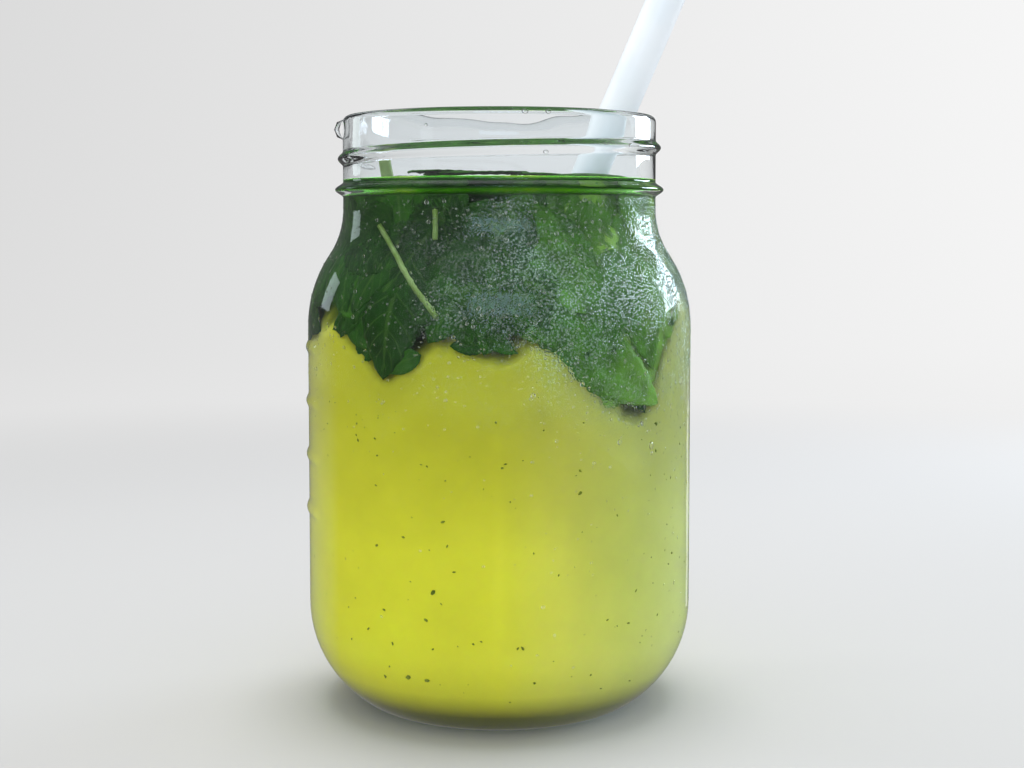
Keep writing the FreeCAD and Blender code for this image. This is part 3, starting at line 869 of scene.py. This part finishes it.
def makeLeafMaterial():
    # fresh mint leaf: dark green, paler veins, a soft wet sheen; murk hides what lies deep
    material, tree, shader = newMaterial("fresh mint leaf")
    place = objectPoint(tree)
    shade = addNode(tree, "ShaderNodeAttribute", {"attribute_name": "shade"}).outputs["Fac"]
    along = addNode(tree, "ShaderNodeAttribute", {"attribute_name": "along"}).outputs["Fac"]
    across = addNode(tree, "ShaderNodeAttribute", {"attribute_name": "across"}).outputs["Fac"]
    blade = ramp(tree, shade, leaf["blade"])
    blotch = addNode(tree, "ShaderNodeTexNoise", {"Scale": perMetre(leaf["blotchSize"]), "Detail": 3.0},
                     {"Vector": place})
    uneven = addNode(tree, "ShaderNodeMapRange",
                     {"From Min": 0.3, "From Max": 0.7, "To Min": 0.7, "To Max": 1.3},
                     {"Value": blotch.outputs["Fac"]})
    varied = addNode(tree, "ShaderNodeVectorMath", {"operation": "SCALE"},
                     {"Scale": uneven.outputs["Result"]})
    tree.links.new(blade, varied.inputs[0])
    side = addNode(tree, "ShaderNodeMath", {"operation": "ABSOLUTE"}, {0: across})
    sweep = addNode(tree, "ShaderNodeMath", {"operation": "MULTIPLY", 1: leaf["veinSweep"]},
                    {0: side.outputs[0]})
    steps = addNode(tree, "ShaderNodeMath", {"operation": "MULTIPLY", 1: float(leaf["veins"])}, {0: along})
    phase = addNode(tree, "ShaderNodeMath", {"operation": "SUBTRACT"})
    tree.links.new(steps.outputs[0], phase.inputs[0])
    tree.links.new(sweep.outputs[0], phase.inputs[1])
    fraction = addNode(tree, "ShaderNodeMath", {"operation": "FRACT"}, {0: phase.outputs[0]})
    edge = addNode(tree, "ShaderNodeMath", {"operation": "PINGPONG", 1: 0.5}, {0: fraction.outputs[0]})
    width = leaf["veinWidth"]
    lateral = addNode(tree, "ShaderNodeMapRange", {"From Min": width, "From Max": 0.0},
                      {"Value": edge.outputs[0]})
    rib = addNode(tree, "ShaderNodeMapRange", {"From Min": width, "From Max": width / 3},
                  {"Value": side.outputs[0]})
    veins = addNode(tree, "ShaderNodeMath", {"operation": "MAXIMUM"})
    tree.links.new(lateral.outputs["Result"], veins.inputs[0])
    tree.links.new(rib.outputs["Result"], veins.inputs[1])
    veined = addNode(tree, "ShaderNodeMix", {"data_type": "RGBA"})
    strength = addNode(tree, "ShaderNodeMath", {"operation": "MULTIPLY", 1: leaf["veinPaleness"]},
                       {0: veins.outputs[0]})
    tree.links.new(strength.outputs[0], veined.inputs[0])
    tree.links.new(varied.outputs[0], veined.inputs[6])
    veined.inputs[7].default_value = linear(leaf["veinColour"])
    murk = addNode(tree, "ShaderNodeAttribute", {"attribute_name": "murk"}).outputs["Fac"]
    fog = addNode(tree, "ShaderNodeMapRange", {"From Min": 0.06, "From Max": 0.8, "To Max": leaf["fog"]},
                  {"Value": murk})
    hidden = addNode(tree, "ShaderNodeMix", {"data_type": "RGBA"})
    tree.links.new(fog.outputs["Result"], hidden.inputs[0])
    tree.links.new(veined.outputs[2], hidden.inputs[6])
    hidden.inputs[7].default_value = linear(leaf["deepColour"])
    tree.links.new(hidden.outputs[2], shader.inputs["Base Color"])
    setInputs(shader, {"Roughness": 0.5, "Specular IOR Level": 0.08, "Subsurface Weight": 0.4,
                       "Subsurface Radius": (0.5, 1.0, 0.2), "Subsurface Scale": leaf["softness"] * mm})
    return material


def makeLeaves():
    rng = random.Random(11)
    bm = bmesh.new()
    layers = {name: bm.verts.layers.float.new(name) for name in ("murk", "shade", "along", "across")}
    level = bundle["level"]

    def wallLeaf(bearing, tipZ, heading, length, depth, shade):
        z = tipZ + length / 2 * math.cos(math.radians(heading))
        place = againstGlass(bearing, z, heading, depth, rng.uniform(-0.05, 0.03), rng.uniform(-1, 1),
                             rng.uniform(0, 6), leaf["least"])
        newLeaf(bm, layers, shade, length, length * rng.uniform(0.5, 0.62), place)

    def turned(kind):
        return rng.uniform(-kind["heading"], kind["heading"])

    # painted haze and light: leaves paler towards +X
    def paintedHaze(bearing):
        return smoothStep(*leaf["paler"], around(sideReach, bearing, 0).x)

    kind = leaf["lining"]  # its tips make the bundle's lower edge, in three rows
    for i in range(kind["count"]):
        bearing = (i * leaf["spiral"]) % 360
        tip = bundleFloor(bearing) + i % 3 * kind["rowGap"] + rng.uniform(*kind["above"])
        length = min(rng.uniform(*kind["length"]), level - tip)
        wallLeaf(bearing, tip, turned(kind), length, rng.uniform(*kind["depth"]),
                 (0.3 + 0.75 * paintedHaze(bearing)) * rng.uniform(*kind["shade"]))
    kind = leaf["filler"]
    for i in range(kind["count"]):
        bearing = rng.uniform(0, 360)
        tip = rng.uniform(bundleFloor(bearing) + kind["above"], level - kind["below"])
        length = min(rng.uniform(*kind["length"]), level - tip + 2)
        wallLeaf(bearing, tip, turned(kind), length, rng.uniform(*kind["depth"]),
                 rng.uniform(*kind["shade"]) + 0.4 * paintedHaze(bearing))
    kind = leaf["bits"]  # torn and young leaves that break up the lower edge
    for i in range(kind["count"]):
        bearing = rng.uniform(0, 360)
        length = rng.uniform(*kind["length"])
        tip = bundleFloor(bearing) + rng.uniform(*kind["above"])
        wallLeaf(bearing, tip, turned(kind), length, rng.uniform(*kind["depth"]), rng.uniform(*kind["shade"]))
    for bearing, z, heading, depth, tilt, length, width, shade in leaf["placed"]:
        place = againstGlass(bearing, z, heading, depth, tilt, 0.4, bearing, 0.3 if tilt else leaf["least"])
        newLeaf(bm, layers, shade, length, width, place)
    for bearing, away, heading, lift, length in leaf["mounded"]:
        centre = around(away, bearing, 0)
        newLeaf(bm, layers, 0.3, length, length * 0.6,
                onSurface(centre.x, centre.y, heading, lift, 0.8, -0.3))
    kind = leaf["floating"]
    for i in range(kind["count"]):
        centre = around(5 + 16 * math.sqrt(i / kind["count"]), (i * leaf["spiral"] + 200) % 360, 0)
        length = rng.uniform(*kind["length"])
        place = onSurface(centre.x, centre.y, rng.uniform(0, 360), rng.uniform(*kind["lift"]),
                          rng.uniform(*kind["cup"]), rng.uniform(*kind["bend"]))
        newLeaf(bm, layers, rng.uniform(*kind["shade"]), length, length * 0.58, place)
    bmesh.ops.remove_doubles(bm, verts=bm.verts, dist=1e-3)
    piece = finished(bm, "mint_leaves", makeLeafMaterial(), "leaf", "mint")
    solid = piece.modifiers.new("blade thickness", "SOLIDIFY")
    solid.thickness = leaf["thickness"] * mm
    solid.offset = 0
    return piece


makeLeaves()
print("leaves made")


# mint stems

stems = dict(
    thickness=1.1,
    uprightThicker=2.2,  # times the others
    patchSize=3.333,
    colours=[(0.3, "#67832f"), (0.7, "#8ca464")],
    runs=[  # bearing, height and depth under the glass, along each stem
        [(220, 101.5, 0.9), (230, 96.5, 0.65), (242, 90.0, 0.65), (252, 84.0, 0.8)],
        [(246, 105.0, 0.75), (246.5, 102.0, 0.65), (247, 98.5, 0.8)],
        [(80, 104.0, 1.0), (95, 96.0, 0.8), (104, 88.0, 1.2)],
        [(352, 102.0, 1.2), (348, 95.0, 0.9), (340, 89.0, 1.5)],
    ],
    upright=[(22.5, 204, 96.0), (24.0, 204.5, 106.0), (25.8, 205, 116.2)],  # distance, bearing, height
)


def makeTube(points, thickness):
    curve = bpy.data.curves.new("stem", "CURVE")
    curve.dimensions = "3D"
    curve.bevel_depth = thickness / 2
    curve.bevel_resolution = 4
    curve.use_fill_caps = True
    curve.resolution_u = 10
    spline = curve.splines.new("NURBS")
    spline.points.add(len(points) - 1)
    for target, point in zip(spline.points, points):
        target.co = (*point, 1)
    spline.order_u = 3
    spline.use_endpoint_u = True
    holder = bpy.data.objects.new("stem", curve)
    mesh = bpy.data.meshes.new_from_object(holder)
    bpy.data.objects.remove(holder)
    bpy.data.curves.remove(curve)
    return mesh


def makeStemMaterial():
    # young mint stem: pale olive, in soft patches
    material, tree, shader = newMaterial("young mint stem")
    patches = addNode(tree, "ShaderNodeTexNoise", {"Scale": perMetre(stems["patchSize"]), "Detail": 2.0},
                      {"Vector": objectPoint(tree)})
    tree.links.new(ramp(tree, patches.outputs["Fac"], stems["colours"]), shader.inputs["Base Color"])
    setInputs(shader, {"Roughness": 0.5, "Specular IOR Level": 0.25})
    return material


def makeStems():
    bm = bmesh.new()
    runs = [[around(wallRadius(z) - depth, side, z) for side, z, depth in run] for run in stems["runs"]]
    runs.append([around(away, side, z) for away, side, z in stems["upright"]])
    for run in runs:
        mesh = makeTube(run, stems["thickness"] * (stems["uprightThicker"] if run is runs[-1] else 1.0))
        bm.from_mesh(mesh)
        bpy.data.meshes.remove(mesh)
    bmesh.ops.remove_doubles(bm, verts=bm.verts, dist=1e-4)
    bmesh.ops.recalc_face_normals(bm, faces=bm.faces)
    return finished(bm, "mint_stems", makeStemMaterial(), "leaf", "mint")


makeStems()
print("stems made")


# flecks of crushed mint in the drink

flecks = dict(
    placed=[  # bearing, height, size: the ones that catch the eye
        (254, 44.5, 0.55), (251, 30.5, 0.7), (249, 25.0, 0.55), (242, 13.3, 0.9), (248, 13.0, 0.7),
        (233, 12.6, 0.6), (238, 19.5, 0.45), (229, 21.6, 0.4), (235, 26.0, 0.35), (277, 20.0, 0.5),
        (281, 13.0, 0.45), (294, 49.8, 0.6), (272, 56.0, 0.35), (311, 22.7, 0.4), (323, 62.0, 0.55),
        (316, 10.6, 0.4),
    ],
    count=260,
    sizes=(0.12, 0.42),
    heights=(9, 78),
    intoGlass=0.15,
    flatness=0.3,
    narrowness=0.62,
    speckSize=2.0,
    colours=[(0.35, "#556a1c"), (0.65, "#8f9a30")],
)


def makeFleckMaterial():
    # shreds of crushed leaf: dark green, a little uneven
    material, tree, shader = newMaterial("crushed mint shreds")
    tone = addNode(tree, "ShaderNodeTexNoise", {"Scale": perMetre(flecks["speckSize"])},
                   {"Vector": objectPoint(tree)})
    tree.links.new(ramp(tree, tone.outputs["Fac"], flecks["colours"]), shader.inputs["Base Color"])
    setInputs(shader, {"Roughness": 0.6, "Specular IOR Level": 0.1})
    return material


def makeFlecks():
    rng = random.Random(5)
    bm = bmesh.new()
    spots = list(flecks["placed"])
    while len(spots) < flecks["count"]:
        bearing, z = rng.uniform(0, 360), rng.uniform(*flecks["heights"])
        if z < bundleFloor(bearing) - 3:
            spots.append((bearing, z, rng.uniform(*flecks["sizes"])))
    for bearing, z, size in spots:
        chip = bmesh.ops.create_icosphere(bm, subdivisions=1, radius=size)["verts"]
        angle = Matrix.Rotation(math.radians(bearing), 4, "Z") @ Matrix.Rotation(rng.uniform(0, 3), 4, "X")
        seat = around(wallRadius(z) + flecks["intoGlass"], bearing, z)
        for vert in chip:
            jagged = vert.co * rng.uniform(0.6, 1.25)
            jagged.x *= flecks["flatness"]
            jagged.y *= flecks["narrowness"]
            vert.co = angle @ jagged + seat
    return finished(bm, "mint_flecks", makeFleckMaterial(), "leaf")


makeFlecks()
print("flecks made")


# water drops on the outside

drops = dict(
    count=4200,
    heights=(14, 107),
    gathers=(54, 80),  # they grow frequent over these heights
    strays=0.05,
    sides=(-20, 25),  # and towards +X
    leastAside=0.35,
    sizes=(0.12, 0.5),
    sizeRate=13,
    flatness=0.45,
    placed=[  # bearing, height, radius, how much taller than wide
        (183, 122.2, 1.7, 1.3), (279, 124.0, 0.7, 0.7), (287, 124.0, 0.6, 0.8), (286, 116.2, 0.6, 0.8),
        (320, 118.0, 0.5, 0.9), (245, 121.5, 0.35, 1.0), (30, 122.5, 0.7, 1.3), (95, 119.0, 0.6, 1.2),
        (150, 123.0, 0.5, 1.1), (330, 84.0, 0.7, 1.5), (336, 70.0, 0.6, 1.6), (318, 58.0, 0.6, 1.4),
    ],
)


def makeWaterMaterial():
    # condensed water: clear, round and bright
    material, tree, shader = newMaterial("condensed water")
    setInputs(shader, {"Base Color": linear("#ffffff"), "Roughness": 0.0, "IOR": 1.333,
                       "Transmission Weight": 1.0})
    letLampsThrough(tree, shader, "#ffffff")
    return material


def makeDrops():
    rng = random.Random(3)
    bm = bmesh.new()
    bead = bmesh.new()
    bmesh.ops.create_uvsphere(bead, u_segments=6, v_segments=4, radius=1)
    template = bpy.data.meshes.new("drop")
    bead.to_mesh(template)
    bead.free()
    spots = [(b, z, size, tall, 0.5 + size * 0.5) for b, z, size, tall in drops["placed"]]
    least, most = drops["sizes"]
    while len(spots) < drops["count"]:
        bearing, z = rng.uniform(0, 360), rng.uniform(*drops["heights"])
        aside = smoothStep(*drops["sides"], around(sideReach, bearing, 0).x)
        keep = drops["leastAside"] + (1 - drops["leastAside"]) * aside
        keep *= drops["strays"] + smoothStep(*drops["gathers"], z)
        if rng.random() < keep:
            size = min(most, least + rng.expovariate(drops["sizeRate"]))
            spots.append((bearing, z, size, rng.uniform(0.85, 1.2), drops["flatness"]))
    for bearing, z, size, tall, flat in spots:
        radius = outerRadius(z) + reliefAt(bearing % 360, z) - size * 0.1
        tip = around(radius + size * flat, bearing, 0)
        if abs(tip.y) > jar["bodyRadius"] or tip.x < jarLow.x / mm:
            continue  # it would stand out of the jar's own box
        drop = template.copy()
        drop.transform(Matrix.Diagonal((size * flat, size, size * tall, 1)))
        drop.transform(Matrix.Rotation(math.radians(bearing), 4, "Z"))
        drop.transform(Matrix.Translation(around(radius, bearing, z)))
        bm.from_mesh(drop)
        bpy.data.meshes.remove(drop)
    bpy.data.meshes.remove(template)
    return finished(bm, "water_drops", makeWaterMaterial(), "glass")


makeDrops()
print("drops made")


# straw

straw = dict(
    diameter=8.0,
    wall=0.35,
    length=197.0,
    columns=64,
    cloudSize=8.333,
    colours=[(0.3, "#f0f6fb"), (0.7, "#f8fbfe")],
)


def makeStrawMaterial():
    # extruded white polypropylene: smooth, softly glossy, faintly blue
    material, tree, shader = newMaterial("white polypropylene tube")
    clouds = addNode(tree, "ShaderNodeTexNoise", {"Scale": perMetre(straw["cloudSize"]), "Detail": 2.0},
                     {"Vector": objectPoint(tree)})
    tree.links.new(ramp(tree, clouds.outputs["Fac"], straw["colours"]), shader.inputs["Base Color"])
    setInputs(shader, {"Roughness": 0.32, "IOR": 1.49})
    return material


def makeStraw():
    outer = straw["diameter"] / 2
    inner = outer - straw["wall"]
    lip = straw["wall"] / 2
    low, high = lip, straw["length"] - lip
    profile = chain(
        straightRun((outer, low), (outer, high), 4.0),
        arcRun(outer - lip, high, lip, 0, 180, 4),
        straightRun((inner, high), (inner, low), 8.0),
        arcRun(outer - lip, low, lip, 180, 360, 4),
    )
    bm = spun(profile, straw["columns"])
    width = (strawHigh.x - strawLow.x) / mm
    height = (strawHigh.z - strawLow.z) / mm
    lean = math.atan2(width, height)
    for _ in range(8):  # the box holds the tube's own thickness as well as its length
        lean = math.asin((width - straw["diameter"] * math.cos(lean)) / straw["length"])
    foot = Vector((strawLow.x / mm + outer * math.cos(lean), (strawLow.y + strawHigh.y) / 2 / mm,
                   strawLow.z / mm + outer * math.sin(lean)))
    place = Matrix.Translation(foot) @ Matrix.Rotation(lean, 4, "Y")
    bmesh.ops.transform(bm, matrix=place, verts=bm.verts)
    return finished(bm, "straw_tube", makeStrawMaterial(), "straw", "straw")


makeStraw()
print("straw made")
